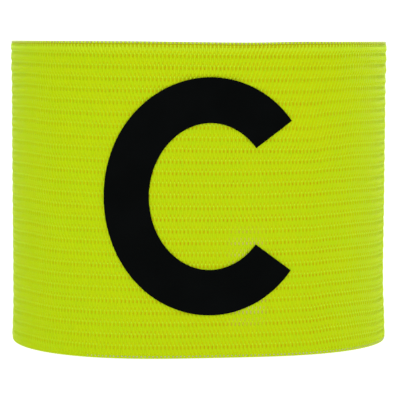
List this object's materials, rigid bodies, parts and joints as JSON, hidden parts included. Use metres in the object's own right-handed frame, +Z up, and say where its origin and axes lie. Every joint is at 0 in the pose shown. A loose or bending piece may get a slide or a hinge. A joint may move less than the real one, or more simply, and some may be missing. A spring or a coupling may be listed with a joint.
{
  "type": "captain armband",
  "caption": "Wide loop of ribbed elastic worn round the upper arm, open at both rims, with a plain letter C on its front and a lap seam at its back.",
  "frame": {"origin": "middle of the loop's box, on the surface that the lower rim stands on", "axes": "+X across the loop's width, to the right of the letter; -Y towards the front with the letter; +Z up along the loop's axis"},
  "size_m": [0.1008, 0.084, 0.08],
  "materials": {
    "elastic": "ribbed woven elastic, neon yellow-green, matt",
    "transfer": "smooth black heat transfer, matt"
  },
  "bodies": {
    "root": {"elastic_band": "elastic", "captain_letter": "transfer"}
  },
  "joints": []
}
